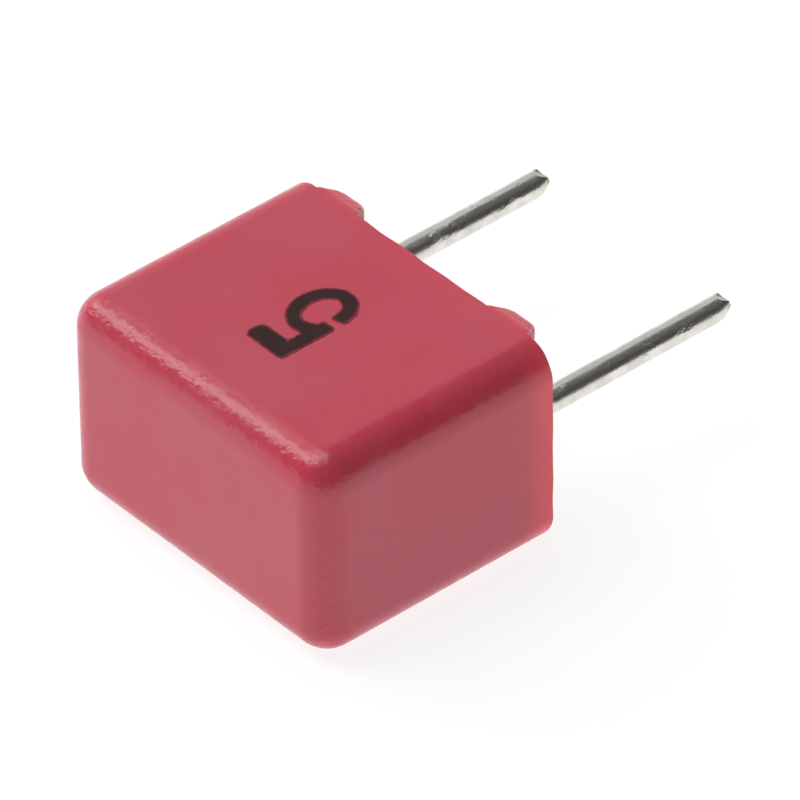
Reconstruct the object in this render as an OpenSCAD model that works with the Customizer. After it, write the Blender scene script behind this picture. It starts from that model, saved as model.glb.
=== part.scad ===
// Radial box film capacitor with 5 mm lead spacing, lying on one broad side.
//
// X runs along the case through both leads, Y runs from the closed end of the
// case towards the lead tips, and Z is up through the width of the case.
// The origin is under the middle of the overall box, on the resting plane.
// All sizes are in millimetres.

/* [Case] */
// Length of the case, along the lead spacing
case_l = 7.2; // [6.8:0.1:10]
// Height of the case, from its closed end to its rim
case_h = 5.55; // [4.5:0.05:9]
// Width of the case, between its two broad sides
case_w = 4.5; // [3.5:0.1:7]
// Thickness of the moulded wall
wall = 0.5; // [0.35:0.05:0.6]
// Rounding of the outer edges and of the closed end
edge_r = 0.7; // [0.3:0.05:0.9]
// Rounding of the cavity's corners and floor
cavity_r = 0.2; // [0.1:0.05:0.4]

/* [Stand-off feet] */
// Height of a foot above the rim
foot_h = 0.4; // [0.2:0.05:0.8]
// Length of a foot where it meets the rim
foot_base_l = 1.1; // [0.9:0.05:1.6]
// Length of a foot between its flanks, at the height of its tip
foot_tip_l = 0.65; // [0.5:0.05:0.8]
// Rounding between a foot's flanks and its tip
foot_r = 0.15; // [0.05:0.01:0.18]
// How far a foot's outer face leans inwards over its height
foot_lean = 0.15; // [0:0.01:0.2]

/* [Leads] */
// Distance between the two leads
pitch = 5; // [4.6:0.1:5.2]
// Diameter of the tinned wire
wire_d = 0.5; // [0.4:0.05:0.6]
// Length of a lead beyond the tips of the feet
lead_l = 4.7; // [3:0.1:17]
// Length of the pinched end of a lead
pinch_l = 0.32; // [0.2:0.01:0.5]
// Width of the pinched edge, across the wire
pinch_w = 0.38; // [0.3:0.01:0.6]
// Thickness of the pinched edge
pinch_t = 0.05; // [0.02:0.01:0.1]
// Height of the pinched edge above the wire's centre
pinch_rise = 0.14; // [0:0.01:0.18]
// How far the pinched edge is pushed out to the left
pinch_shift = 0.03; // [0:0.01:0.12]

/* [Capacitor element] */
// Thickness of the sprayed metal on each end of the winding
spray_t = 0.35; // [0.2:0.01:0.5]
// Thickness of the stretch of a lead that is pressed flat and welded in
flat_t = 0.37; // [0.25:0.01:0.45]
// Width of the flattened stretch
flat_w = 0.54; // [0.4:0.01:0.6]
// Rounding of the flattened stretch's four edges
flat_edge_r = 0.08; // [0.04:0.01:0.09]
// How deep a lead is welded into its end spray
weld_sink = 0.1; // [0.05:0.01:0.15]
// Distance from the closed side of the winding to the start of a lead
weld_start = 0.6; // [0.2:0.1:2]
// Resin between the winding and the case walls
pot_gap = 0.15; // [0.1:0.01:0.4]
// Rounding of the flattened winding, as a share of its thickness
roll_roundness = 0.45; // [0.3:0.01:0.49]

/* [Resin seal] */
// Depth of the winding below the rim
seal_depth = 0.6; // [0.45:0.05:1.2]
// How far the middle of the resin lies below the rim
resin_dip = 0.14; // [0.05:0.01:0.2]
// Width of the border where the resin meets the wall at rim level
resin_border = 0.08; // [0.04:0.01:0.2]
// Height and width of the resin that creeps up each lead
resin_collar = 0.3; // [0.2:0.01:0.4]

/* [Hidden] */
$fn = 64;

// Sides of the two leads and their sprays along X
LEFT = -1;
RIGHT = 1;
// Extra length that lets one shape cut cleanly through another
CUT = 0.5;
// Faces of the round end that a lead's pinched end is drawn out from
PINCH_FN = 32;
// Step that keeps the pinched end's root inside the wire's surface
PINCH_STEP = 0.004;
// Depth that a shape reaches into the one it grows from, so that they join
ROOT = 0.05;

// Places along Y
end_y = -(case_h + foot_h + lead_l) / 2;
rim_y = end_y + case_h;
seat_y = rim_y + foot_h;
tip_y = seat_y + lead_l;
resin_y = rim_y - resin_dip;

// Middle of the case's width, where the winding and the leads lie
mid_z = case_w / 2;

// Cavity inside the walls
cavity_l = case_l - 2 * wall;
cavity_w = case_w - 2 * wall;
cavity_y = end_y + wall;
cavity_h = rim_y - cavity_y;

// Each foot starts where the rounding of the case's corner ends
foot_x = case_l / 2 - edge_r - foot_base_l / 2;

// Winding: a flattened roll with its axis along X
spray_face_x = pitch / 2 - flat_t / 2 + weld_sink;
film_l = 2 * (spray_face_x - spray_t);
roll_w = cavity_w - 2 * pot_gap;
roll_y = cavity_y + pot_gap;
roll_h = rim_y - seal_depth - roll_y;
roll_r = roll_roundness * min(roll_w, roll_h);

// Leads: each is flat from its weld up into the collar, and round from there
wire_r = wire_d / 2;
lead_y = roll_y + weld_start;
round_y = resin_y + resin_collar / 4;
pinch_y = tip_y - pinch_l;

// Moves what is centred on the case's axis to its place above the resting plane
module at_axis(y) {
    translate([0, y, mid_z])
        children();
}

// Moves what is centred on a lead's axis to its place on that side
module at_lead(side, y) {
    translate([side * pitch / 2, y, mid_z])
        children();
}

// Rectangle with rounded corners, centred on both axes
module rounded_outline(l, w, r) {
    square([l - 2 * r, w], center = true);
    square([l, w - 2 * r], center = true);
    for (side_x = [-1, 1], side_y = [-1, 1])
        translate([side_x * (l / 2 - r), side_y * (w / 2 - r)])
            circle(r = r);
}

// Block centred on X and Z. It is rounded at its closed end, y = 0, and along
// its four long edges, and it is square at its open end, y = h.
module rounded_block(l, h, w, r) {
    core_l = l - 2 * r;
    core_w = w - 2 * r;
    translate([-core_l / 2, 0, -core_w / 2])
        cube([core_l, h, core_w]);
    translate([-l / 2, r, -core_w / 2])
        cube([l, h - r, core_w]);
    translate([-core_l / 2, r, -w / 2])
        cube([core_l, h - r, w]);
    for (side_x = [LEFT, RIGHT])
        translate([side_x * core_l / 2, r, 0])
            cylinder(h = core_w, r = r, center = true);
    for (side_z = [-1, 1])
        translate([0, r, side_z * core_w / 2])
            rotate([0, 90, 0])
                cylinder(h = core_l, r = r, center = true);
    for (side_x = [LEFT, RIGHT], side_z = [-1, 1])
        translate([side_x * core_l / 2, r, side_z * core_w / 2]) {
            sphere(r = r);
            rotate([-90, 0, 0])
                cylinder(h = h - r, r = r);
        }
}

// Side view of a foot: a low trapezoid with true arcs at its two tip corners.
// Its x is along the rim and its y is the height above the rim.
module foot_profile() {
    flank = atan2(foot_h, (foot_base_l - foot_tip_l) / 2);
    arc_x = foot_tip_l / 2 - foot_r * tan(flank / 2);
    arc_y = foot_h - foot_r;
    touch_x = arc_x + foot_r * sin(flank);
    touch_y = arc_y + foot_r * cos(flank);
    polygon([
        [-foot_base_l / 2, -ROOT],
        [foot_base_l / 2, -ROOT],
        [foot_base_l / 2, 0],
        [touch_x, touch_y],
        [arc_x, foot_h],
        [-arc_x, foot_h],
        [-touch_x, touch_y],
        [-foot_base_l / 2, 0]
    ]);
    for (side_x = [LEFT, RIGHT])
        translate([side_x * arc_x, arc_y])
            circle(r = foot_r);
}

// End view of a foot: as thick as the wall, with a leaning outer face.
// Its x is inwards from the broad side and its y is the height above the rim.
module foot_section() {
    polygon([
        [0, -ROOT],
        [wall, -ROOT],
        [wall, foot_h],
        [foot_lean, foot_h],
        [0, 0]
    ]);
}

// One foot, standing on the rim over the broad side at z = 0
module foot() {
    intersection() {
        linear_extrude(height = wall)
            foot_profile();
        rotate([0, -90, 0])
            linear_extrude(height = foot_base_l, center = true)
                foot_section();
    }
}

// Moulded case: a cup with four stand-off feet on its rim
module case() {
    color([0.76, 0.2, 0.29]) {
        difference() {
            at_axis(end_y)
                rounded_block(case_l, case_h, case_w, edge_r);
            at_axis(cavity_y)
                rounded_block(cavity_l, cavity_h + CUT, cavity_w, cavity_r);
        }
        for (side_x = [LEFT, RIGHT])
            translate([side_x * foot_x, rim_y, 0]) {
                foot();
                translate([0, 0, case_w])
                    mirror([0, 0, 1])
                        foot();
            }
    }
}

// Length of the flattened roll, centred at x
module roll_slice(x, length) {
    at_axis(roll_y + roll_h / 2)
        translate([x, 0, 0])
            rotate([0, -90, 0])
                linear_extrude(height = length, center = true)
                    rounded_outline(roll_w, roll_h, roll_r);
}

// Wound film: all the turns of the flattened roll
module film_winding() {
    color([0.78, 0.79, 0.8])
        roll_slice(0, film_l);
}

// Flattened stretch of a lead, from its weld to where it turns round
module flat_wire(side) {
    at_lead(side, lead_y)
        rotate([-90, 0, 0])
            linear_extrude(height = round_y + ROOT - lead_y)
                rounded_outline(flat_t, flat_w, flat_edge_r);
}

// Metal sprayed on one end of the winding, with the groove where its lead is welded in
module end_spray(side) {
    color([0.6, 0.6, 0.58])
        difference() {
            roll_slice(side * (spray_face_x - spray_t / 2), spray_t);
            flat_wire(side);
        }
}

// Pinched end of a lead: the round wire drawn out to a short raised edge
module pinched_end() {
    hull() {
        translate([0, -ROOT, 0])
            rotate([-90, 0, 0])
                cylinder(h = ROOT, r = wire_r - PINCH_STEP, $fn = PINCH_FN);
        translate([-pinch_w / 2 - pinch_shift, pinch_l - PINCH_STEP, pinch_rise - pinch_t / 2])
            cube([pinch_w, PINCH_STEP, pinch_t]);
    }
}

// Tinned lead: a straight wire with one end welded in and the other cut off
module lead(side) {
    color([0.5, 0.49, 0.47]) {
        flat_wire(side);
        at_lead(side, round_y)
            rotate([-90, 0, 0])
                cylinder(h = pinch_y - round_y, r = wire_r);
        at_lead(side, pinch_y)
            pinched_end();
    }
}

// Resin that has crept up a lead, in a hollow curve from the resin to the wire.
// Below round_y it closes in on the flattened wire.
module collar() {
    rotate([-90, 0, 0]) {
        rotate_extrude()
            translate([wire_r, 0])
                difference() {
                    translate([0, -ROOT])
                        square([resin_collar, resin_collar + ROOT]);
                    translate([resin_collar, resin_collar])
                        circle(r = resin_collar);
                }
        translate([0, 0, -ROOT])
            cylinder(h = round_y - resin_y + ROOT, r = wire_r + ROOT);
    }
}

// Cast resin: fills the cavity round the element, dips in the middle and grips the leads
module resin_seal() {
    color([0.5, 0.1, 0.13])
        difference() {
            union() {
                difference() {
                    at_axis(cavity_y)
                        rounded_block(cavity_l, cavity_h, cavity_w, cavity_r);
                    at_axis(resin_y)
                        rounded_block(
                            cavity_l - 2 * resin_border,
                            resin_dip + CUT,
                            cavity_w - 2 * resin_border,
                            resin_dip
                        );
                }
                intersection() {
                    at_axis(cavity_y)
                        rounded_block(cavity_l, cavity_h + CUT, cavity_w, cavity_r);
                    for (side = [LEFT, RIGHT])
                        at_lead(side, resin_y)
                            collar();
                }
            }
            roll_slice(0, 2 * spray_face_x);
            flat_wire(LEFT);
            flat_wire(RIGHT);
        }
}

case();
resin_seal();
film_winding();
end_spray(LEFT);  // end_spray_left
end_spray(RIGHT);  // end_spray_right
lead(LEFT);  // lead_left
lead(RIGHT);  // lead_right
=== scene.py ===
"""Box film capacitor, lying on one broad side: its fine shapes, finishes and setting.

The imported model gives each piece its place. Sizes in the classes are in millimetres, and the
meshes are in metres, in the model's own frame: X runs along the case, Y towards the lead tips.
"""

import logging
import math
from collections.abc import Callable, Iterator, Mapping, Sequence
from dataclasses import dataclass, field
from enum import Enum
from typing import NamedTuple

import bmesh
import bpy
import numpy as np
from bpy.types import ID, Material, Mesh, Node, NodeOutputs, NodeSocket, NodeTree, Object
from mathutils import Matrix, Quaternion, Vector, noise


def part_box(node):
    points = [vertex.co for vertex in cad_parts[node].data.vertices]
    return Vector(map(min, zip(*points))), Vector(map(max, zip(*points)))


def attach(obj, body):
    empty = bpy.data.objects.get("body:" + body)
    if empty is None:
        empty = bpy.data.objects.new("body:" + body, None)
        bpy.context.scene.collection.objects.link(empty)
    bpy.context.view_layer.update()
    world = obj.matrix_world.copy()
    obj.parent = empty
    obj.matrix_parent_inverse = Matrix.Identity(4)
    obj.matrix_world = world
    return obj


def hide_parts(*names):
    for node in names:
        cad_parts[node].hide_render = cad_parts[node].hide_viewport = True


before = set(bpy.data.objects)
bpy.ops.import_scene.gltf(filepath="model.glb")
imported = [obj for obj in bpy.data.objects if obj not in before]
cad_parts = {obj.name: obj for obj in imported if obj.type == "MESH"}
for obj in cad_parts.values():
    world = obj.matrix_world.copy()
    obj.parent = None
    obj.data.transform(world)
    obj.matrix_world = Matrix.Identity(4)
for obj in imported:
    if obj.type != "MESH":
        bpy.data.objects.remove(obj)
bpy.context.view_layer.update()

MM = 0.001
BODY = "root"
Colour = tuple[float, float, float]
Face = tuple[int, ...]
Value = float | Sequence[float] | NodeSocket
Values = Mapping[str | int, Value]
log = logging.getLogger("film_capacitor")


class Side(Enum):
    """A lead's side of the case along X."""

    LEFT = -1
    RIGHT = 1

    @property
    def label(self) -> str:
        """The side's name as the model's nodes write it."""
        return self.name.lower()


@dataclass(frozen=True)
class Box:
    """The box round a node.

    Attributes:
        low: Lowest corner.
        high: Highest corner.
    """

    low: Vector
    high: Vector

    @classmethod
    def of_node(cls, name: str) -> "Box":
        """Reads a node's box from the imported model, in millimetres."""
        low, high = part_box(name)
        return cls(Vector(low) / MM, Vector(high) / MM)

    @property
    def centre(self) -> Vector:
        """The middle of the box."""
        return (self.low + self.high) / 2


def ripple(place: Vector, spacing: float, seed: float) -> float:
    """Gives a smooth random number for a place.

    Args:
        place: The place in millimetres.
        spacing: Rough distance between neighbouring ripples.
        seed: Picks another pattern.

    Returns:
        A number from about 0 to 1.
    """
    return 0.5 + 0.5 * noise.noise(place / spacing + Vector((seed, 2.7 * seed, 0)))


# Meshes ---------------------------------------------------------------------------------------


class Column(NamedTuple):
    """One line of points that runs through every ring of a lofted shell."""

    base: Vector
    out: Vector
    cell: tuple[int, int]


Place = Callable[[Column], Vector]


@dataclass(frozen=True)
class Outline:
    """The plan of a lofted shell: a core rectangle and the rings round it.

    A ring at distance r runs r outside the core rectangle, with corners of radius r.

    Attributes:
        across: Stations along the core's first side, from its negative to its positive end.
        along: Stations along its second side.
        corner_steps: Steps round each corner.
    """

    across: tuple[float, ...]
    along: tuple[float, ...]
    corner_steps: int

    def columns(self) -> list[Column]:
        """Lists the columns once round, counter-clockwise from the first side's positive end.

        Returns:
            The columns, with their place on the core's edge, their way out and their grid cell.
        """
        last_i = len(self.across) - 1
        last_j = len(self.along) - 1
        corners = [(last_i, last_j), (0, last_j), (0, 0), (last_i, 0)]
        sides = [
            [(i, last_j) for i in range(last_i - 1, 0, -1)],
            [(0, j) for j in range(last_j - 1, 0, -1)],
            [(i, 0) for i in range(1, last_i)],
            [(last_i, j) for j in range(1, last_j)],
        ]
        listed = []
        for quarter, (corner, side) in enumerate(zip(corners, sides)):
            for step in range(self.corner_steps + 1):
                angle = (quarter + step / self.corner_steps) * math.pi / 2
                listed.append(self._column(corner, angle))
            listed += [self._column(cell, (quarter + 1) * math.pi / 2) for cell in side]
        return listed

    def _column(self, cell: tuple[int, int], angle: float) -> Column:
        """Places one column on a cell of the core's edge, facing out at an angle."""
        i, j = cell
        base = Vector((self.across[i], self.along[j]))
        return Column(base, Vector((math.cos(angle), math.sin(angle))), cell)


class Loft:
    """Gathers the rings and end faces of a shell into one closed mesh."""

    def __init__(self, outline: Outline) -> None:
        """Starts an empty shell over the plan that all its rings share."""
        self.outline = outline
        self.columns = outline.columns()
        self.points: list[Vector] = []
        self.faces: list[Face] = []

    def add(self, point: Vector) -> int:
        """Adds one point and returns its number."""
        self.points.append(point)
        return len(self.points) - 1

    def ring(self, place: Place) -> list[int]:
        """Adds one ring and returns the numbers of its points."""
        return [self.add(place(column)) for column in self.columns]

    def grid(self, place: Callable[[Vector], Vector]) -> list[int]:
        """Adds the end face over the core rectangle.

        Args:
            place: Gives the point over a place of the plan.

        Returns:
            The numbers of the points along its edge, as a ring whose corners are single points.
        """
        across, along = self.outline.across, self.outline.along
        cells = [[self.add(place(Vector((a, b)))) for b in along] for a in across]
        for i in range(len(across) - 1):
            for j in range(len(along) - 1):
                quad = (cells[i][j], cells[i + 1][j], cells[i + 1][j + 1], cells[i][j + 1])
                self.faces.append(quad)
        return [cells[column.cell[0]][column.cell[1]] for column in self.columns]

    def join(self, rings: Sequence[list[int]]) -> None:
        """Closes the strips between neighbouring rings.

        Args:
            rings: The rings in order.
        """
        for near, far in zip(rings, rings[1:]):
            for k, point in enumerate(near):
                face = tuple(dict.fromkeys((near[k - 1], point, far[k], far[k - 1])))
                if len(face) > 2:
                    self.faces.append(face)


def spaced(stops: Sequence[float], steps: Sequence[float]) -> tuple[float, ...]:
    """Divides the stretches between stops into equal steps.

    Args:
        stops: The ends of the stretches.
        steps: The longest step in each stretch.

    Returns:
        All the stations.
    """
    stations = [stops[0]]
    for start, end, step in zip(stops, stops[1:], steps):
        count = math.ceil((end - start) / step - 1e-6)
        stations += [start + (end - start) * k / count for k in range(1, count + 1)]
    return tuple(stations)


def quarter_turn(steps: int) -> list[float]:
    """Divides a right angle into equal steps and gives the angle at the end of each."""
    return [step / steps * math.pi / 2 for step in range(1, steps + 1)]


def add_object(name: str, data: ID) -> Object:
    """Adds an object with its data to the scene and returns it."""
    made = bpy.data.objects.new(name, data)
    bpy.context.scene.collection.objects.link(made)
    return made


def make_piece(
    name: str, points: Sequence[Vector], faces: Sequence[Face], finish: Material
) -> Object:
    """Makes a smooth closed piece with its faces pointing outwards.

    Args:
        name: The piece's name.
        points: Its points in millimetres.
        faces: The numbers of each face's points.
        finish: Its material.

    Returns:
        The new piece, in the scene.
    """
    mesh = bpy.data.meshes.new(name)
    mesh.from_pydata([point * MM for point in points], [], faces)
    shape = bmesh.new()
    shape.from_mesh(mesh)
    bmesh.ops.recalc_face_normals(shape, faces=shape.faces)
    shape.to_mesh(mesh)
    shape.free()
    mesh.shade_smooth()
    mesh.materials.append(finish)
    return add_object(name, mesh)


def hand_over(piece: Object, slot: str, *nodes: str) -> None:
    """Lets a finished piece ride with the part, and stand for nodes of the model.

    Args:
        piece: The finished piece.
        slot: The name of a material slot; not used.
        nodes: The nodes that it replaces.
    """
    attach(piece, BODY)
    if nodes:
        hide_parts(*nodes)
    log.info("%s: %d faces, replaces %s", piece.name, len(piece.data.polygons), nodes or "nothing")


# Node trees -----------------------------------------------------------------------------------


class Graph:
    """Adds nodes to one tree and links them by the names of their sockets."""

    def __init__(self, tree: NodeTree) -> None:
        """Wraps the tree to add to."""
        self.tree = tree

    def node(self, kind: str, values: Values | None = None, **settings: object) -> Node:
        """Adds a node.

        Args:
            kind: The node's type.
            values: What goes into its inputs, as numbers or as sockets to link.
            settings: Its other properties.

        Returns:
            The new node.
        """
        made = self.tree.nodes.new(kind)
        for name, value in settings.items():
            setattr(made, name, value)
        self.fill(made, values or {})
        return made

    def fill(self, node: Node, values: Values) -> None:
        """Feeds a node's inputs, by name or by number."""
        for name, value in values.items():
            self.feed(node.inputs[name], value)

    def feed(self, socket: NodeSocket, value: Value) -> None:
        """Links a socket to another, or sets its number, vector or colour."""
        if isinstance(value, NodeSocket):
            self.tree.links.new(value, socket)
        elif socket.type == "RGBA" and len(value) == 3:
            socket.default_value = (*value, 1.0)
        else:
            socket.default_value = value

    def math(self, operation: str, *values: Value) -> NodeSocket:
        """Adds one sum and returns its result."""
        made = self.node("ShaderNodeMath", dict(enumerate(values)), operation=operation)
        return made.outputs[0]

    def vector(self, operation: str, *values: Value) -> NodeSocket:
        """Adds one sum of vectors and returns its result."""
        made = self.node("ShaderNodeVectorMath", dict(enumerate(values)), operation=operation)
        return made.outputs[0]

    def split(self, place: Value) -> NodeOutputs:
        """Splits a vector and returns its X, Y and Z."""
        return self.node("ShaderNodeSeparateXYZ", {0: place}).outputs

    def remap(
        self,
        value: Value,
        old: tuple[Value, Value],
        new: tuple[Value, Value] = (0.0, 1.0),
        kind: str = "SMOOTHSTEP",
    ) -> NodeSocket:
        """Moves a value from one range to another, and holds it at the ends.

        Args:
            value: The value.
            old: The range that it comes in.
            new: The range that it goes out in.
            kind: How it runs between the ends.

        Returns:
            The moved value.
        """
        names = ("Value", "From Min", "From Max", "To Min", "To Max")
        values = dict(zip(names, (value, *old, *new)))
        made = self.node("ShaderNodeMapRange", values, interpolation_type=kind)
        return made.outputs["Result"]


class ShaderGraph(Graph):
    """A graph of shader nodes."""

    def blend(self, share: Value, first: Value, second: Value) -> NodeSocket:
        """Mixes two colours: the first at a share of 0 and the second at 1."""
        made = self.node("ShaderNodeMix", {0: share, 6: first, 7: second}, data_type="RGBA")
        return made.outputs[2]

    def noise(self, place: Value, scale: Value, detail: float = 2.0) -> NodeSocket:
        """Adds soft random clouds.

        Args:
            place: Where the pattern is read.
            scale: Clouds per millimetre.
            detail: Layers of finer clouds.

        Returns:
            A value from 0 to 1.
        """
        values = {"Vector": place, "Scale": scale, "Detail": detail}
        return self.node("ShaderNodeTexNoise", values).outputs["Fac"]

    def bump(self, height: Value, depth: float, normal: Value | None = None) -> NodeSocket:
        """Turns a height into a tilted normal.

        Args:
            height: The height, from 0 to 1.
            depth: What a height of 1 stands for, in millimetres.
            normal: A normal from another bump, to build on.

        Returns:
            The normal.
        """
        values: dict[str | int, Value] = {"Height": height, "Distance": depth * MM}
        if normal is not None:
            values["Normal"] = normal
        return self.node("ShaderNodeBump", values).outputs["Normal"]


VECTOR = "NodeSocketVector"
FLOAT = "NodeSocketFloat"


def new_group(
    name: str, inputs: Mapping[str, str], outputs: Sequence[str]
) -> tuple[ShaderGraph, NodeOutputs, Node]:
    """Starts a shader node group.

    Args:
        name: Its name.
        inputs: Its inputs and their socket types.
        outputs: Its outputs, which are all numbers.

    Returns:
        The graph to fill, its inputs' sockets and its output node.
    """
    tree = bpy.data.node_groups.new(name, "ShaderNodeTree")
    for label, kind in inputs.items():
        tree.interface.new_socket(label, in_out="INPUT", socket_type=kind)
    for label in outputs:
        tree.interface.new_socket(label, in_out="OUTPUT", socket_type=FLOAT)
    graph = ShaderGraph(tree)
    return graph, graph.node("NodeGroupInput").outputs, graph.node("NodeGroupOutput")


class Effects:
    """The shader node groups that several finishes share."""

    def __init__(self) -> None:
        """Builds each group once."""
        self.mottle = self._mottle()
        self.grain = self._grain()
        self.scuffs = self._scuffs()

    @staticmethod
    def _mottle() -> NodeTree:
        """Builds broad soft blotches with finer ones on them."""
        graph, given, result = new_group("Mottle", {"Place": VECTOR, "Scale": FLOAT}, ["Share"])
        broad = graph.noise(given["Place"], given["Scale"], 1.0)
        fine = graph.noise(given["Place"], graph.math("MULTIPLY", given["Scale"], 3.7))
        both = graph.math("MULTIPLY_ADD", fine, 0.3, graph.math("MULTIPLY", broad, 0.7))
        graph.fill(result, {"Share": graph.remap(both, (0.36, 0.64))})
        return graph.tree

    @staticmethod
    def _grain() -> NodeTree:
        """Builds the fine relief of a moulded, cast or sprayed surface, with small pimples."""
        inputs = {"Place": VECTOR, "Scale": FLOAT, "Pimples": FLOAT}
        graph, given, result = new_group("Grain", inputs, ["Height", "Peaks"])
        place, scale = given["Place"], given["Scale"]
        relief = graph.noise(place, scale, 3.0)
        values = {"Vector": place, "Scale": scale}
        cells = graph.node("ShaderNodeTexVoronoi", values, feature="SMOOTH_F1").outputs
        peaks = graph.remap(cells["Distance"], (0.0, 0.35), (1.0, 0.0))
        where = graph.noise(place, graph.math("MULTIPLY", scale, 0.45), 1.0)
        peaks = graph.math("MULTIPLY", peaks, graph.remap(where, (0.5, 0.62)))
        height = graph.math("MULTIPLY_ADD", peaks, given["Pimples"], relief)
        graph.fill(result, {"Height": height, "Peaks": peaks})
        return graph.tree

    @staticmethod
    def _scuffs() -> NodeTree:
        """Builds short nicks and rubs, drawn out along Y."""
        inputs = {"Place": VECTOR, "Scale": FLOAT, "Length": FLOAT}
        graph, given, result = new_group("Scuffs", inputs, ["Mask"])
        shrink = graph.math("DIVIDE", 1.0, given["Length"])
        shape = graph.node("ShaderNodeCombineXYZ", {"X": 1.0, "Y": shrink, "Z": 1.0}).outputs[0]
        lines = graph.noise(graph.vector("MULTIPLY", given["Place"], shape), given["Scale"], 3.0)
        where = graph.noise(given["Place"], graph.math("MULTIPLY", given["Scale"], 0.3), 1.0)
        worn, chosen = graph.remap(lines, (0.54, 0.66)), graph.remap(where, (0.4, 0.6))
        graph.fill(result, {"Mask": graph.math("MULTIPLY", worn, chosen)})
        return graph.tree


# Finishes -------------------------------------------------------------------------------------


class Surface(ShaderGraph):
    """A material's graph, with the shared effects at hand."""

    def __init__(self, material: Material, effects: Effects) -> None:
        """Starts from the material's plain shader.

        Args:
            material: The material to dress.
            effects: The groups that finishes share.
        """
        super().__init__(material.node_tree)
        self.shader = material.node_tree.nodes["Principled BSDF"]
        self.effects = effects
        metres = self.node("ShaderNodeTexCoord").outputs["Object"]
        self.place = self.vector("MULTIPLY", metres, (1 / MM,) * 3)

    def effect(self, tree: NodeTree, **values: float) -> NodeOutputs:
        """Places a shared group on the surface and returns its outputs."""
        made = self.node("ShaderNodeGroup", node_tree=tree)
        self.fill(made, {"Place": self.place, **values})
        return made.outputs

    def mottle(self, scale: float) -> NodeSocket:
        """Places the shared blotches and returns their share."""
        return self.effect(self.effects.mottle, Scale=scale)["Share"]

    def grain(self, scale: float, pimples: float) -> NodeOutputs:
        """Places the shared relief and returns its outputs."""
        return self.effect(self.effects.grain, Scale=scale, Pimples=pimples)

    def mark(self, name: str) -> NodeSocket:
        """Reads a number that the mesh carries at each point."""
        return self.node("ShaderNodeAttribute", attribute_name=name).outputs["Fac"]

    def coat(self, values: Values) -> None:
        """Feeds the surface's shader."""
        self.fill(self.shader, values)


class Finish:
    """A material of the object, built from its own values."""

    name: str

    def build(self, effects: Effects) -> Material:
        """Builds the material with the groups that finishes share."""
        material = bpy.data.materials.new(self.name)
        material.use_nodes = True
        self.dress(Surface(material, effects))
        return material

    def dress(self, surface: Surface) -> None:
        """Fills the material's graph."""
        raise NotImplementedError


@dataclass(frozen=True)
class MouldedPlastic(Finish):
    """Satin red plastic, a little cloudy, that shows the mould's fine texture, with a painted glow
    towards its thin rim.

    Attributes:
        clear: Colour where the plastic is clear and full.
        cloudy: Colour of its paler clouds.
        painted_glow: Painted glow towards the thin rim: colour that stands in for the light it
            lets through.
        rim_y: Where the rim lies along Y.
        side_x: Where the narrow sides lie along X.
        sheen: Roughness where the skin is smoothest.
        roughness: Roughness where it is most matt.
        glow_reach: How far the painted glow reaches from the rim on a narrow side.
        glow_side: Width of the strip where a narrow side's painted glow sets in.
        glow_away: Share of the painted glow away from the narrow sides.
        lit_rim: Width of the strip of painted light along the whole rim.
        lit_share: Share of the painted glow on that strip.
        wave_depth: Depth of the mould's soft waves.
        relief: Depth of the fine relief on rounded edges.
        scatter: Share of the light that scatters under the skin.
        scatter_reach: How far it scatters.
        scatter_colours: How far each colour goes of that.
    """

    rim_y: float
    side_x: float
    name: str = "case_plastic"
    clear: Colour = (0.66, 0.062, 0.106)
    cloudy: Colour = (0.64, 0.083, 0.126)
    painted_glow: Colour = (0.97, 0.09, 0.12)
    sheen: float = 0.15
    roughness: float = 0.27
    glow_reach: float = 0.9
    glow_side: float = 0.5
    glow_away: float = 0.12
    lit_rim: float = 0.13
    lit_share: float = 0.45
    wave_depth: float = 0.006
    relief: float = 0.024
    scatter: float = 0.2
    scatter_reach: float = 0.25
    scatter_colours: Colour = (1.0, 0.25, 0.2)

    def dress(self, surface: Surface) -> None:
        """Fills the material's graph."""
        waves = surface.noise(surface.place, 2.6, 1.0)
        body = surface.blend(surface.mottle(0.33), self.clear, self.cloudy)
        relief = surface.math(
            "MULTIPLY", surface.grain(8.0, 0.3)["Height"], surface.mark(Case.ROUNDING)
        )
        surface.coat({
            # The base colour carries painted light: a glow towards the thin rim, strongest on the
            # narrow sides.
            "Base Color": surface.blend(self._painted_glow(surface), body, self.painted_glow),
            "Roughness": surface.remap(waves, (0.4, 0.62), (self.sheen, self.roughness)),
            "Normal": surface.bump(relief, self.relief, surface.bump(waves, self.wave_depth)),
            "Subsurface Weight": self.scatter,
            "Subsurface Radius": self.scatter_colours,
            "Subsurface Scale": self.scatter_reach * MM,
        })

    def _painted_glow(self, surface: Surface) -> NodeSocket:
        """Works out the share of painted glow at each place, which stands in for the light that
        enters the thin rim.
        """
        place = surface.split(surface.place)
        off_middle, y = surface.math("ABSOLUTE", place["X"]), place["Y"]
        edge = surface.remap(y, (self.rim_y - self.glow_reach, self.rim_y + 0.05))
        side = surface.remap(
            off_middle, (self.side_x - self.glow_side, self.side_x), (self.glow_away, 1.0)
        )
        thin = surface.remap(y, (self.rim_y - self.lit_rim, self.rim_y), (0.0, self.lit_share))
        return surface.math("MAXIMUM", surface.math("MULTIPLY", edge, side), thin)


@dataclass(frozen=True)
class PrintedInk(Finish):
    """Flat dark ink that thins out towards the edges of its strokes."""

    name: str = "marking_ink"
    full: Colour = (0.042, 0.013, 0.013)
    thin: Colour = (0.36, 0.042, 0.062)
    shine: float = 0.18

    def dress(self, surface: Surface) -> None:
        """Fills the material's graph."""
        patches = surface.mottle(3.0)
        depth = surface.math("MULTIPLY_ADD", patches, 0.2, surface.mark(Digit.DEPTH))
        surface.coat({
            "Base Color": surface.blend(surface.remap(depth, (0.05, 0.8)), self.thin, self.full),
            "Roughness": surface.math("MULTIPLY_ADD", patches, 0.15, 0.42),
            "Specular IOR Level": self.shine,
            "Normal": surface.bump(surface.grain(16.0, 0.6)["Height"], 0.003),
        })


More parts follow.
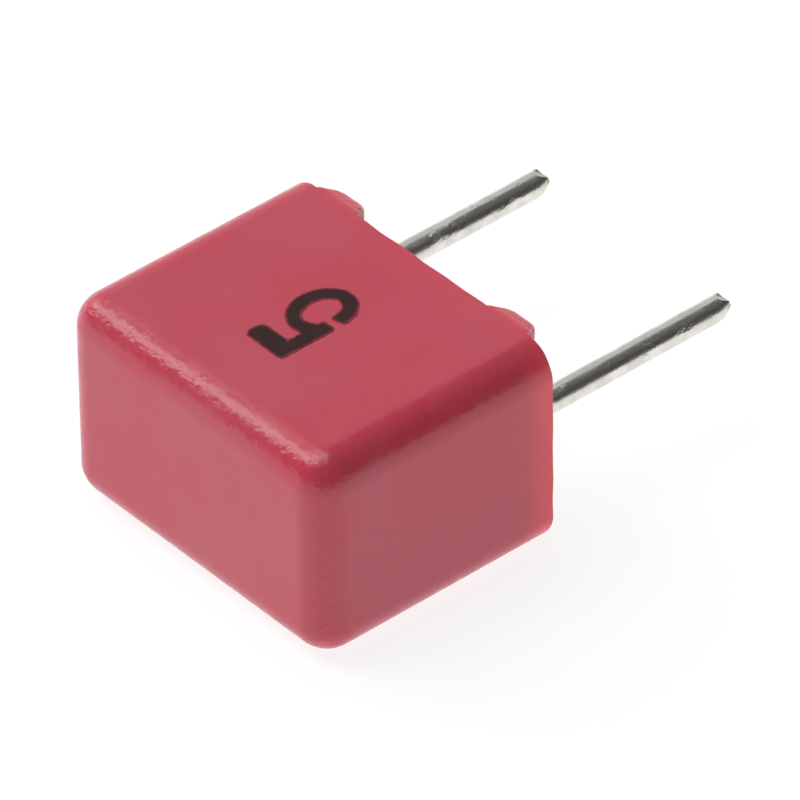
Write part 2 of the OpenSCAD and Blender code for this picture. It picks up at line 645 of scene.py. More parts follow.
@dataclass(frozen=True)
class TinnedWire(Finish):
    """Bright tin on a round wire, with nicks, dull patches and a bare cut end.

    Attributes:
        cut_y: Where the wire is cut off along Y.
        tin: Colour of the tin where it is bright.
        dull: Colour of its dull patches.
        core: Colour of the bare metal at the cut.
        bare: Length of the bare stretch.
    """

    cut_y: float
    name: str = "tinned_wire"
    tin: Colour = (0.82, 0.80, 0.75)
    dull: Colour = (0.62, 0.60, 0.54)
    core: Colour = (0.62, 0.47, 0.38)
    bare: float = 0.16

    def dress(self, surface: Surface) -> None:
        """Fills the material's graph."""
        scuffs = surface.effect(surface.effects.scuffs, Scale=6.0, Length=3.0)["Mask"]
        patches = surface.mottle(2.2)
        along = surface.split(surface.place)["Y"]
        bare = surface.remap(along, (self.cut_y - self.bare, self.cut_y - 0.02), (0.0, 0.7))
        coat = surface.blend(surface.math("MULTIPLY", patches, 0.6), self.tin, self.dull)
        worn = surface.math("MULTIPLY_ADD", patches, 0.1, 0.22)
        nicked = surface.bump(scuffs, 0.006)
        surface.coat({
            "Base Color": surface.blend(bare, coat, self.core),
            "Metallic": 1.0,
            "Roughness": surface.math("MULTIPLY_ADD", scuffs, 0.15, worn),
            "Normal": surface.bump(surface.grain(14.0, 0.5)["Height"], 0.003, nicked),
        })


@dataclass(frozen=True)
class CastResin(Finish):
    """Smooth cast resin, darker and glossier than the case."""

    name: str = "seal_resin"
    deep: Colour = (0.27, 0.025, 0.04)
    milky: Colour = (0.34, 0.045, 0.06)

    def dress(self, surface: Surface) -> None:
        """Fills the material's graph."""
        clouds = surface.mottle(0.6)
        surface.coat({
            "Base Color": surface.blend(clouds, self.deep, self.milky),
            "Roughness": surface.math("MULTIPLY_ADD", clouds, 0.1, 0.22),
            "Normal": surface.bump(surface.grain(2.5, 0.3)["Height"], 0.006),
        })


@dataclass(frozen=True)
class WoundFilm(Finish):
    """The outer turns of metallised film: silvery, with the faint lines of its winding."""

    name: str = "wound_film"
    silver: Colour = (0.62, 0.63, 0.65)
    shade: Colour = (0.48, 0.49, 0.52)

    def dress(self, surface: Surface) -> None:
        """Fills the material's graph."""
        lines = surface.noise(surface.vector("MULTIPLY", surface.place, (9.0, 0.3, 0.3)), 1.0, 3.0)
        patches = surface.mottle(0.8)
        shade = surface.math("MULTIPLY", lines, patches)
        surface.coat({
            "Base Color": surface.blend(shade, self.silver, self.shade),
            "Metallic": 0.6,
            "Roughness": surface.math("MULTIPLY_ADD", patches, 0.12, 0.28),
            "Normal": surface.bump(lines, 0.004),
        })


@dataclass(frozen=True)
class SprayedMetal(Finish):
    """Grainy grey metal, sprayed in droplets."""

    name: str = "sprayed_metal"
    bright: Colour = (0.45, 0.45, 0.44)
    dark: Colour = (0.27, 0.27, 0.265)

    def dress(self, surface: Surface) -> None:
        """Fills the material's graph."""
        grain = surface.grain(12.0, 1.0)
        surface.coat({
            "Base Color": surface.blend(surface.mottle(1.5), self.bright, self.dark),
            "Metallic": 0.9,
            "Roughness": surface.math("MULTIPLY_ADD", grain["Peaks"], -0.15, 0.62),
            "Normal": surface.bump(grain["Height"], 0.02),
        })


# The case -------------------------------------------------------------------------------------


@dataclass(frozen=True)
class Foot:
    """One of the stand-off feet on the rim.

    Attributes:
        height: Height above the rim.
        base: Length where it meets the rim.
        tip: Length between its flanks, at the height of its tip.
        rounding: Rounding between its flanks and its tip.
        lean: How far its outer face leans inwards over its height.
    """

    height: float = 0.4
    base: float = 1.1
    tip: float = 0.65
    rounding: float = 0.25
    lean: float = 0.15

    def height_at(self, offset: float) -> float:
        """Gives the foot's height above the rim at an offset from its middle, 0 beyond it."""
        flank = math.atan2(self.height, (self.base - self.tip) / 2)
        arc_x = self.tip / 2 - self.rounding * math.tan(flank / 2)
        touch_x = arc_x + self.rounding * math.sin(flank)
        touch_y = self.height - self.rounding * (1 - math.cos(flank))
        offset = abs(offset)
        if offset <= arc_x:
            return self.height
        if offset <= touch_x:
            fall = self.rounding - math.sqrt(self.rounding**2 - (offset - arc_x) ** 2)
            return self.height - fall
        return max(0.0, touch_y * (self.base / 2 - offset) / (self.base / 2 - touch_x))


@dataclass(frozen=True)
class Case:
    """The moulded case: a cup with round edges and four stand-off feet on its rim.

    Attributes:
        box: The box round the case in the model.
        wall: Thickness of its wall.
        edge: Rounding of its outer edges.
        lip: Rounding of the rim's two thin edges.
        soft: Rounding of the feet's edges.
        sink: How far the middle of a broad side sinks in.
        wave: Height of the rim's small waves.
        foot: The form of its feet.
    """

    ROUNDING = "rounding"
    FULLY_TURNED = 0.2
    SHOULDER = 0.25
    EDGE_STEPS = 14

    box: Box
    wall: float = 0.5
    edge: float = 0.7
    lip: float = 0.05
    soft: float = 0.17
    sink: float = 0.022
    wave: float = 0.045
    foot: Foot = field(default_factory=Foot)

    @property
    def rim_y(self) -> float:
        """Where the rim lies between the feet."""
        return self.box.high.y - self.foot.height

    @property
    def floor_y(self) -> float:
        """Where the cavity's floor lies."""
        return self.box.low.y + self.wall

    @property
    def core(self) -> Vector:
        """Half the length and half the width of the flat core between the rounded edges."""
        size = self.box.high - self.box.low
        return Vector((size.x / 2 - self.edge, size.z / 2 - self.edge))

    @property
    def foot_x(self) -> float:
        """Distance of the feet from the middle along X."""
        return self.core.x - self.foot.base / 2

    def outline(self) -> Outline:
        """Lays out the columns of the rings, which stand close where the feet are."""
        x, z = self.core
        inner = self.foot_x - self.foot.base / 2
        across = spaced((-x, -inner, inner, x), (0.035, 0.09, 0.035))
        return Outline(across, spaced((-z, z), (0.08,)), self.EDGE_STEPS)

    def sunk(self, x: float, y: float) -> float:
        """Says how far a broad side lies inside its flat plane at a place along X and Y."""
        half_y = (self.rim_y - self.box.low.y) / 2
        off_x = min(abs(x) / self.core.x, 1.0)
        off_y = min(abs(y - self.box.low.y - half_y) / half_y, 1.0)
        hollow = (1 - off_x**2) * (1 - off_y**2)
        return hollow * (self.sink + 0.008 * ripple(Vector((x, y, 0)), 1.3, 4.1))

    def point(self, flat: Vector, y: float) -> Vector:
        """Puts a place of the plan, measured from the case's middle, at a place along Y."""
        return Vector((self.box.centre.x + flat.x, y, self.box.centre.z + flat.y))

    def wall_point(self, column: Column, distance: float, y: float) -> Vector:
        """Places a point of the outer wall, with the hollows that cooling leaves.

        Args:
            column: The point's column.
            distance: Its distance outside the core.
            y: Its place along Y.

        Returns:
            The point.
        """
        flat = column.base + column.out * distance
        broad = column.out.y**4
        return self.point(flat - column.out * self.sunk(flat.x, y) * broad, y)

    def top_of(self, column: Column) -> float:
        """Gives the top's height over a column, above the rim, a little less where it waves."""
        wave = self.wave * ripple((column.base + column.out).to_3d(), 0.55, 9.3)
        if abs(column.out.y) < 0.999:
            return -wave
        height = self.foot.height_at(abs(column.base.x) - self.foot_x)
        return height - wave * (1 - height / self.foot.height)

    def build(self, finish: Material) -> Object:
        """Builds the case as one closed shell and returns it."""
        loft = Loft(self.outline())
        rings = [loft.grid(lambda flat: self.point(flat, self.box.low.y))]
        inner_rings = self.cavity_rings(self.rim_y - self.SHOULDER, 0.6)
        for places in (self.outer_rings(), self.rim_rings(), inner_rings):
            rings += [loft.ring(place) for place in places]
        rings.append(loft.grid(lambda flat: self.point(flat, self.floor_y)))
        loft.join(rings)
        piece = make_piece("Case_shell", loft.points, loft.faces, finish)
        self._mark_rounding(piece.data)
        return piece

    def _mark_rounding(self, mesh: Mesh) -> None:
        """Notes how far each point is turned from the flat sides, for the finish to read."""
        marks = mesh.attributes.new(self.ROUNDING, "FLOAT", "POINT")
        facings = [max(abs(part) for part in point.normal) for point in mesh.vertices]
        turned = [min(1.0, (1.0 - facing) / self.FULLY_TURNED) for facing in facings]
        marks.data.foreach_set("value", turned)

    def outer_rings(self) -> Iterator[Place]:
        """Gives the rings round the closed end's edge and up the outer wall.

        Yields:
            A function that places each column's point on the next ring.
        """
        for angle in quarter_turn(self.EDGE_STEPS):
            distance = self.edge * math.sin(angle)
            y = self.box.low.y + self.edge * (1 - math.cos(angle))
            yield lambda column, d=distance, y=y: self.wall_point(column, d, y)
        shoulder = self.rim_y - self.SHOULDER
        for y in spaced((self.box.low.y + self.edge, shoulder), (0.12,))[1:]:
            yield lambda column, y=y: self.wall_point(column, self.edge, y)
        for step in range(1, 13):
            yield lambda column, share=step / 12: self.upper_point(column, shoulder, share)

    def upper_point(self, column: Column, shoulder: float, share: float) -> Vector:
        """Places a point between the shoulder and the edge of the rim or foot.

        Args:
            column: The point's column.
            shoulder: Where the upper wall starts along Y.
            share: How far up the upper wall, from 0 to 1.

        Returns:
            The point.
        """
        top = self.rim_y + self.top_of(column) - self.lip_of(column)
        y = shoulder + (top - shoulder) * share
        return self.wall_point(column, self.edge - self.leaning(y), y)

    def leaning(self, y: float) -> float:
        """Says how far a foot's outer face has leaned inwards at a height along Y."""
        return self.foot.lean * max(0.0, y - self.rim_y) / self.foot.height

    def rim_rings(self) -> Iterator[Place]:
        """Gives the rings over the rim: its outer edge, its flat top and its inner edge.

        Yields:
            A function that places each column's point on the next ring.
        """
        for angle in quarter_turn(6):
            across, down = 1 - math.cos(angle), 1 - math.sin(angle)
            yield lambda column, a=across, d=down: self.rim_point(column, a, d)
        for step in range(1, 5):
            yield lambda column, share=step / 5: self.rim_point(column, 1.0, 0.0, share)
        for angle in [0.0, *quarter_turn(6)]:
            across, down = 1 + math.sin(angle), 1 - math.cos(angle)
            yield lambda column, a=across, d=down: self.rim_point(column, a, d, 1.0)

    def lip_of(self, column: Column) -> float:
        """Gives the rounding of the rim's edges over a column, which is softer on a foot."""
        rise = max(0.0, self.top_of(column)) / self.foot.height
        return self.lip + (self.soft - self.lip) * min(1.0, 1.6 * rise)

    def rim_point(self, column: Column, across: float, down: float, share: float = 0.0) -> Vector:
        """Places a point of the rim's top.

        Args:
            column: The point's column.
            across: Distance from the outer face, as a share of the lip's radius.
            down: Distance below the top, as a share of the radius.
            share: How far it lies over the flat top, from the outer edge to the inner one.

        Returns:
            The point.
        """
        lip = self.lip_of(column)
        inset = lip * across + (self.wall - 2 * lip) * share
        y = self.rim_y + self.top_of(column) - lip * down
        lean = self.leaning(y) * (1 - inset / self.wall)
        return self.wall_point(column, self.edge - inset - lean, y)

    def cavity_rings(self, top: float, step: float) -> Iterator[Place]:
        """Gives the rings down the cavity's wall and round its floor, for case and resin.

        Args:
            top: Where they start along Y.
            step: The longest step down the wall.

        Yields:
            A function that places each column's point on the next ring.
        """
        rounding = self.edge - self.wall
        for y in reversed(spaced((self.floor_y + rounding, top), (step,))):
            yield lambda column, y=y: self.point(column.base + column.out * rounding, y)
        for angle in quarter_turn(4)[:-1]:
            distance = rounding * math.cos(angle)
            y = self.floor_y + rounding * (1 - math.sin(angle))
            yield lambda column, d=distance, y=y: self.point(column.base + column.out * d, y)


# The digit ------------------------------------------------------------------------------------


@dataclass(frozen=True)
class Stroke:
    """One stroke of the digit: a line of even width with rounded ends.

    Attributes:
        path: Points along its middle, to the right and up from the digit's lower left corner.
        width: Its width.
        corner: Rounding of the corners at its ends, at most half the width.
    """

    path: tuple[tuple[float, float], ...]
    width: float
    corner: float

    def distance(self, places: np.ndarray) -> np.ndarray:
        """Measures how far places lie outside the stroke.

        Args:
            places: The places, one in each row.

        Returns:
            Their distances, below 0 inside.
        """
        path = np.array(self.path)
        flat = self.width / 2 - self.corner
        best = np.full(len(places), np.inf)
        for start, end in zip(path, path[1:]):
            length = np.linalg.norm(end - start)
            way = (end - start) / length
            off = places - (start + end) / 2
            along = np.abs(off @ way) - length / 2 - flat
            across = np.abs(off @ np.array((-way[1], way[0]))) - flat
            outer = np.hypot(np.maximum(along, 0.0), np.maximum(across, 0.0))
            inner = np.minimum(np.maximum(along, across), 0.0)
            best = np.minimum(best, outer + inner - self.corner)
        return best


@dataclass(frozen=True)
class Digit:
    """A plain printed 5 on the upper broad side, read from the lead side.

    Attributes:
        case: The case that it is printed on.
        left_x: Where the digit's left side lies along X. It is read towards negative X.
        foot_at: Distance of its lower end from the closed end, which its upper end points to.
        height: Its height.
        width: Its width.
        film: Thickness of the ink.
        cell: Spacing of the points that its outline is found on.
        rough: How far its edges stray.
        fade: Width of the strip along its edges where the ink gets thinner.
    """

    DEPTH = "ink_depth"

    case: Case
    left_x: float = 0.525
    foot_at: float = 3.925
    height: float = 2.2
    width: float = 1.2
    film: float = 0.012
    cell: float = 0.02
    rough: float = 0.018
    fade: float = 0.09

    def strokes(self) -> list[Stroke]:
        """Draws the digit: its bar, stem, bowl, the web where they join and the blunt tail."""
        bar, stem, bowl = 0.47, 0.36, 0.33
        top = self.height - bar / 2
        half_x, half_y, bowl_v = (self.width - bowl) / 2, 0.57, 0.72
        turn = [math.radians(angle) for angle in range(105, -166, -9)]
        arc = [
            (self.width / 2 + half_x * math.cos(angle), bowl_v + half_y * math.sin(angle))
            for angle in turn
        ]
        return [
            Stroke(((bar / 2, top), (self.width - 0.15 - bar / 2, top)), bar, 0.16),
            Stroke(((stem / 2, self.height - stem / 2), (stem / 2, 0.88 + stem / 2)), stem, 0.1),
            Stroke(((stem / 2, 1.31), *arc), bowl, bowl / 2),
            Stroke(((0.2, 1.09), (0.5, 1.3)), 0.3, 0.15),
            Stroke(((bowl / 2 + 0.03, 0.57), (bowl / 2 + 0.05, 0.47)), bowl, 0.05),
        ]

    def outside(self, places: np.ndarray) -> np.ndarray:
        """Measures how far places lie outside the printed ink, with its ragged edges.

        Args:
            places: The places, one in each row.

        Returns:
            Their distances, below 0 inside.
        """
        gap = np.min([stroke.distance(places) for stroke in self.strokes()], axis=0)
        stray = [ripple(Vector((*place, 0)), 0.11, 3.7) - 0.5 for place in places]
        return gap + 2 * self.rough * np.array(stray)

    def build(self, finish: Material) -> Object:
        """Builds the ink as one thin closed sheet on the case's surface.

        The outline is found on a grid: each cell that the ink reaches gives one face.

        Args:
            finish: Its material.

        Returns:
            The finished piece.
        """
        margin = 3 * self.cell
        us = np.arange(-margin, self.width + margin, self.cell)
        vs = np.arange(-margin, self.height + margin, self.cell)
        gaps = self.outside(np.array([(u, v) for u in us for v in vs])).reshape(len(us), len(vs))
        depths: dict[tuple[float, float], float] = {}
        faces = []
        for i in range(len(us) - 1):
            for j in range(len(vs) - 1):
                corners = [(i, j), (i + 1, j), (i + 1, j + 1), (i, j + 1)]
                cell = [(us[a], vs[b], gaps[a, b]) for a, b in corners]
                face = self._inked(cell)
                depths.update(face)
                if face:
                    faces.append([place for place, _ in face])
        numbers = {place: number for number, place in enumerate(depths)}
        numbered = [tuple(numbers[place] for place in face) for face in faces]
        return self._sheet(depths, numbered, finish)

    def _inked(
        self, cell: Sequence[tuple[float, float, float]]
    ) -> list[tuple[tuple[float, float], float]]:
        """Cuts the inked part out of one cell of the grid.

        Args:
            cell: Its corners, each with its distance outside the ink.

        Returns:
            The inked part's corners, each with how deep inside the print it lies.
        """
        face = []
        for (u, v, gap), (next_u, next_v, next_gap) in zip(cell, (*cell[1:], cell[0])):
            if gap < 0:
                face.append(((round(u, 5), round(v, 5)), min(1.0, -gap / self.fade)))
            if (gap < 0) != (next_gap < 0):
                share = gap / (gap - next_gap)
                place = (round(u + (next_u - u) * share, 5), round(v + (next_v - v) * share, 5))
                face.append((place, 0.0))
        return face

    def _sheet(
        self, depths: Mapping[tuple[float, float], float], faces: list[Face], finish: Material
    ) -> Object:
        """Gives the flat print its thickness and its place on the case.

        Args:
            depths: The print's points, to the right and up, and how deep inside it each lies.
            faces: The print's faces.
            finish: Its material.

        Returns:
            The finished piece.
        """
        count = len(depths)
        points = []
        for lift in (0.6, -0.4):
            for u, v in depths:
                x, y = self.left_x - u, self.case.box.low.y + self.foot_at - v
                surface = self.case.box.high.z - self.case.sunk(x, y)
                points.append(Vector((x, y, surface + lift * self.film)))
        edges = {(a, b) for face in faces for a, b in zip(face, (*face[1:], face[0]))}
        walls = [(a, b, b + count, a + count) for a, b in edges if (b, a) not in edges]
        under = [tuple(k + count for k in reversed(face)) for face in faces]
        piece = make_piece("Digit_print", points, [*faces, *under, *walls], finish)
        marks = piece.data.attributes.new(self.DEPTH, "FLOAT", "POINT")
        marks.data.foreach_set("value", [*depths.values()] * 2)
        return piece


# The leads ------------------------------------------------------------------------------------


class GeometryGraph(Graph):
    """A graph of geometry nodes with named inputs."""

    def __init__(self, name: str, inputs: Mapping[str, str]) -> None:
        """Starts a tree that makes a geometry from its inputs.

        Args:
            name: The tree's name.
            inputs: Its inputs and their socket types.
        """
        tree = bpy.data.node_groups.new(name, "GeometryNodeTree")
        tree.interface.new_socket("Geometry", in_out="OUTPUT", socket_type="NodeSocketGeometry")
        self.sockets = {
            label: tree.interface.new_socket(label, in_out="INPUT", socket_type=kind).identifier
            for label, kind in inputs.items()
        }
        super().__init__(tree)
        self.given = self.node("NodeGroupInput").outputs
        self.result = self.node("NodeGroupOutput").inputs

    def run(self, name: str, values: Mapping[str, object]) -> Object:
        """Makes a plain mesh object from the tree.

        Args:
            name: The piece's name.
            values: A value for each input.

        Returns:
            The finished object, without a modifier.
        """
        carrier = add_object(name, bpy.data.meshes.new(name))
        modifier = carrier.modifiers.new("Shape", "NODES")
        modifier.node_group = self.tree
        for label, value in values.items():
            modifier[self.sockets[label]] = value
        bpy.context.view_layer.update()
        evaluated = carrier.evaluated_get(bpy.context.evaluated_depsgraph_get())
        mesh = bpy.data.meshes.new_from_object(evaluated)
        mesh.set_sharp_from_angle(angle=math.radians(40))
        carrier.modifiers.remove(modifier)
        carrier.data = mesh
        mesh.name = name
        return carrier


@dataclass(frozen=True)
class CutEnd:
    """The end of a lead where a cutter pinched it off.

    Attributes:
        length: Length of the slanted face that the lower jaw left.
        upper: Length of the short face that the upper jaw left.
        rise: Height of the edge above the wire's middle.
        edge: Thickness of the edge.
        narrowing: How much narrower the edge is than the wire, as a share.
        burr: How far the torn corner sticks out.
    """

    length: float = 0.34
    upper: float = 0.2
    rise: float = 0.13
    edge: float = 0.05
    narrowing: float = 0.22
    burr: float = 0.07


@dataclass(frozen=True)
class Lead:
    """A tinned wire: flat inside the resin, round outside it, and pinched off at its tip.

    Attributes:
        side: Which of the two leads it is.
        box: The box round the lead in the model.
        round_y: Where the flat stretch ends along Y.
        cut: The form of its tip.
        spacing: Distance between the leads.
        diameter: Diameter of the round wire.
        flat_thickness: Thickness of the flat stretch.
        flat_width: Width of the flat stretch.
        dents: Depth of its small dents.
        seed: Picks their pattern.
    """

    side: Side
    box: Box
    round_y: float
    cut: CutEnd
    spacing: float = 5.0
    diameter: float = 0.5
    flat_thickness: float = 0.37
    flat_width: float = 0.54
    dents: float = 0.006
    seed: float = 0.0

    def build(self, shaper: "LeadShaper") -> Object:
        """Builds the lead with the nodes that shape a wire, and returns it."""
        middle_z = self.box.low.z + self.flat_width / 2
        values = {
            "Axis": (self.side.value * self.spacing / 2 * MM, 0.0, middle_z * MM),
            "Start": self.box.low.y,
            "End": self.box.high.y,
            "Radius": self.diameter / 2,
            "Flat Thickness": self.flat_thickness / self.diameter,
            "Flat Width": self.flat_width / self.diameter,
            "Round From": self.round_y,
            "Cut Length": self.cut.length,
            "Cut Upper": self.cut.upper,
            "Cut Rise": self.cut.rise,
            "Cut Edge": self.cut.edge,
            "Narrowing": self.cut.narrowing,
            "Burr": self.cut.burr,
            "Dents": self.dents,
            "Seed": self.seed,
        }
        return shaper.graph.run(f"Lead_{self.side.label}_wire", values)


class LeadShaper:
    """The geometry nodes that draw a wire along its axis and form its tip."""

    RINGS = 190
    SIDES = 56
    NUMBERS = (
        "Start", "End", "Radius", "Flat Thickness", "Flat Width", "Round From", "Cut Length",
        "Cut Upper", "Cut Rise", "Cut Edge", "Narrowing", "Burr", "Dents", "Seed",
    )

    def __init__(self, finish: Material) -> None:
        """Builds the tree, which gives the wire its finish too."""
        inputs = {"Axis": VECTOR, **dict.fromkeys(self.NUMBERS, FLOAT)}
        self.graph = GeometryGraph("Lead_shape", inputs)
        wire = self._tube()
        for kind, values in (
            ("GeometryNodeSetPosition", {"Position": self._rule()}),
            ("GeometryNodeTransform", {"Scale": (MM, MM, MM)}),
            ("GeometryNodeTransform", {"Translation": self.graph.given["Axis"]}),
            ("GeometryNodeRealizeInstances", {}),
            ("GeometryNodeSetShadeSmooth", {}),
            ("GeometryNodeSetMaterial", {"Material": finish}),
        ):
            wire = self.graph.node(kind, {"Geometry": wire, **values}).outputs[0]
        self.graph.feed(self.graph.result["Geometry"], wire)

    def _tube(self) -> NodeSocket:
        """Draws the plain wire on the Y axis, with its rings closer together towards the tip."""
        graph, given = self.graph, self.graph.given
        line = graph.node("GeometryNodeCurvePrimitiveLine", {"Start": (0, 0, 0), "End": (0, 1, 0)})
        points = graph.node(
            "GeometryNodeResampleCurve", {"Curve": line.outputs[0], "Count": self.RINGS}
        )
        share = graph.node("GeometryNodeSplineParameter").outputs["Factor"]
        left = graph.math("SUBTRACT", 1.0, share)
        eased = graph.math("SUBTRACT", 1.0, graph.math("MULTIPLY", left, left))
        y = graph.remap(eased, (0.0, 1.0), (given["Start"], given["End"]), "LINEAR")
        place = graph.node("ShaderNodeCombineXYZ", {"Y": y}).outputs[0]
        values = {"Geometry": points.outputs[0], "Position": place}
        path = graph.node("GeometryNodeSetPosition", values).outputs[0]
        values = {"Resolution": self.SIDES, "Radius": given["Radius"]}
        circle = graph.node("GeometryNodeCurvePrimitiveCircle", values).outputs[0]
        values = {"Curve": path, "Profile Curve": circle, "Fill Caps": True}
        return graph.node("GeometryNodeCurveToMesh", values).outputs[0]

    def _rule(self) -> NodeSocket:
        """Works out where each point of the tube goes."""
        graph = self.graph
        place = graph.node("GeometryNodeInputPosition").outputs[0]
        parts = graph.split(place)
        x, y, z = self._flattened(parts["X"], parts["Y"], parts["Z"])
        x, z = self._pinched(x, y, z)
        moved = graph.node("ShaderNodeCombineXYZ", {"X": x, "Y": y, "Z": z}).outputs[0]
        return graph.vector("ADD", moved, self._dented(place))

    def _flattened(self, x: Value, y: Value, z: Value) -> tuple[Value, Value, Value]:
        """Presses the wire flat below the place where it turns round."""
        graph, given = self.graph, self.graph.given
        turning = (graph.math("SUBTRACT", given["Round From"], 0.25), given["Round From"])
        thin = graph.remap(y, turning, (given["Flat Thickness"], 1.0))
        wide = graph.remap(y, turning, (given["Flat Width"], 1.0))
        return graph.math("MULTIPLY", x, thin), y, graph.math("MULTIPLY", z, wide)

    def _pinched(self, x: Value, y: Value, z: Value) -> tuple[Value, Value]:
        """Squeezes the tip between the cutter's two jaws and tears one corner out to a burr."""
        graph, given = self.graph, self.graph.given
        lower_from, upper_from = (
            graph.math("SUBTRACT", given["End"], given[jaw]) for jaw in ("Cut Length", "Cut Upper")
        )
        share = graph.remap(y, (lower_from, given["End"]), kind="LINEAR")
        half = graph.math("MULTIPLY", given["Cut Edge"], 0.5)
        bottom = graph.math("MULTIPLY", given["Radius"], -1.0)
        under_edge = graph.math("SUBTRACT", given["Cut Rise"], half)
        over_edge = graph.math("ADD", given["Cut Rise"], half)
        low = graph.remap(share, (0.0, 1.0), (bottom, under_edge), "LINEAR")
        high = graph.remap(y, (upper_from, given["End"]), (given["Radius"], over_edge), "LINEAR")
        z = graph.math("MINIMUM", graph.math("MAXIMUM", z, low), high)
        lost = graph.math("MULTIPLY", graph.math("POWER", share, 2.0), given["Narrowing"])
        x = graph.math("MULTIPLY", x, graph.math("SUBTRACT", 1.0, lost))

        off_axis = graph.math("DIVIDE", graph.math("MULTIPLY", x, -1.0), given["Radius"])
        corner = graph.math("POWER", graph.math("MAXIMUM", off_axis, 0.0), 2.0)
        torn = graph.math("MULTIPLY", corner, graph.math("POWER", share, 2.5))
        pulled = graph.math("MULTIPLY", torn, given["Burr"])
        x = graph.math("SUBTRACT", x, graph.math("MULTIPLY", pulled, 0.6))
        return x, graph.math("ADD", z, pulled)

    def _dented(self, place: Value) -> NodeSocket:
        """Gives the way from each point to the bottom of its small dent."""
        graph, given = self.graph, self.graph.given
        stretched = graph.vector("MULTIPLY", place, (3.0, 1.2, 3.0))
        values = {"Vector": stretched, "W": given["Seed"], "Scale": 1.6, "Detail": 2.0}
        cloud = graph.node("ShaderNodeTexNoise", values, noise_dimensions="4D").outputs["Fac"]
        depth = graph.math("MULTIPLY", graph.math("SUBTRACT", cloud, 0.75), given["Dents"])
        normal = graph.node("GeometryNodeInputNormal").outputs[0]
        return graph.vector("MULTIPLY", graph.vector("MULTIPLY", normal, depth), (1.0, 0.0, 1.0))


# The resin ------------------------------------------------------------------------------------


@dataclass(frozen=True)
class ResinSeal:
    """The cast resin: it fills the case, climbs its wall and creeps up the leads.

    Attributes:
        case: The case that it fills.
        dip: How far its middle lies below the rim.
        climb: Width of the strip over which it climbs the wall.
        collar: Height and width of the resin round each lead.
        spacing: Distance between the leads.
        wire: Radius of a lead.
        swell: Height of its soft waves.
    """

    case: Case
    dip: float = 0.14
    climb: float = 0.45
    collar: float = 0.3
    spacing: float = 5.0
    wire: float = 0.25
    swell: float = 0.012

    @property
    def level(self) -> float:
        """Where the resin's flat middle lies along Y."""
        return self.case.rim_y - self.dip

    def outline(self) -> Outline:
        """Lays out the columns of the rings, which stand close round the leads."""
        x, z = self.case.core
        near = self.spacing / 2 - self.wire - self.collar
        reach = self.wire + self.collar
        across = spaced((-x, -near, near, x), (0.025, 0.12, 0.025))
        return Outline(across, spaced((-z, -reach, reach, z), (0.08, 0.025, 0.08)), 8)

    def surface(self, flat: Vector) -> float:
        """Says where the resin's surface lies along Y over a place of the plan."""
        half = self.case.core + Vector((1, 1)) * (self.case.edge - self.case.wall)
        to_wall = min(half.x - abs(flat.x), half.y - abs(flat.y))
        rise = (self.dip - 0.03) * max(0.0, 1 - to_wall / self.climb) ** 2.5
        to_lead = math.hypot(abs(flat.x) - self.spacing / 2, flat.y) - self.wire
        creep = min(max(to_lead / self.collar, 0.0), 1.0)
        rise = max(rise, self.collar * (1 - math.sqrt(1 - (1 - creep) ** 2)) * 0.97)
        wave = self.swell * ripple(flat.to_3d(), 0.9, 7.7)
        return self.level + rise - self.swell + wave * (1 - min(1.0, rise / 0.1))

    def build(self, finish: Material) -> Object:
        """Builds the resin as one closed block and returns it."""
        case = self.case
        rounding = case.edge - case.wall
        loft = Loft(self.outline())
        rings = [loft.grid(self._top_point)]
        for step in range(1, 7):
            distance = rounding * step / 6
            rings.append(
                loft.ring(lambda column, d=distance: self._top_point(column.base + column.out * d))
            )
        rings += [loft.ring(place) for place in case.cavity_rings(self.level - 0.1, 0.8)]
        rings.append(loft.grid(lambda flat: case.point(flat, case.floor_y)))
        loft.join(rings)
        return make_piece("Resin_fill", loft.points, loft.faces, finish)

    def _top_point(self, flat: Vector) -> Vector:
        """Places a point of the surface over a place of the plan."""
        return self.case.point(flat, self.surface(flat))


# The setting ----------------------------------------------------------------------------------


@dataclass(frozen=True)
class Viewpoint:
    """The camera's place and lens.

    Attributes:
        target: The point that the middle of the view shows.
        azimuth: Turn to the right of the view along Y, in degrees.
        elevation: Height of the view above the floor, in degrees.
        roll: Turn of the camera about its own axis, in degrees.
        distance: Distance from the target.
        lens: Focal length, for a sensor 36 wide.
    """

    target: Vector
    azimuth: float = 49.54
    elevation: float = 38.45
    roll: float = -0.79
    distance: float = 217.6
    lens: float = 540.0

    def place(self) -> Object:
        """Adds the camera, makes it the scene's own and returns it."""
        turn, lift, roll = (math.radians(a) for a in (self.azimuth, self.elevation, self.roll))
        level = Vector((math.cos(turn), math.sin(turn), 0.0))
        back = Vector((level.y, -level.x, 0.0)) * math.cos(lift)
        back.z = math.sin(lift)
        upright = back.cross(level)
        right = level * math.cos(roll) + upright * math.sin(roll)
        up = back.cross(right)
        data = bpy.data.cameras.new("Camera")
        data.sensor_width = 36.0
        data.lens = self.lens
        data.clip_start = 0.001
        camera = add_object("Camera", data)
        place = Matrix.Translation((self.target + back * self.distance) * MM)
        camera.matrix_world = place @ Matrix((right, up, back)).transposed().to_4x4()
        bpy.context.scene.camera = camera
        return camera


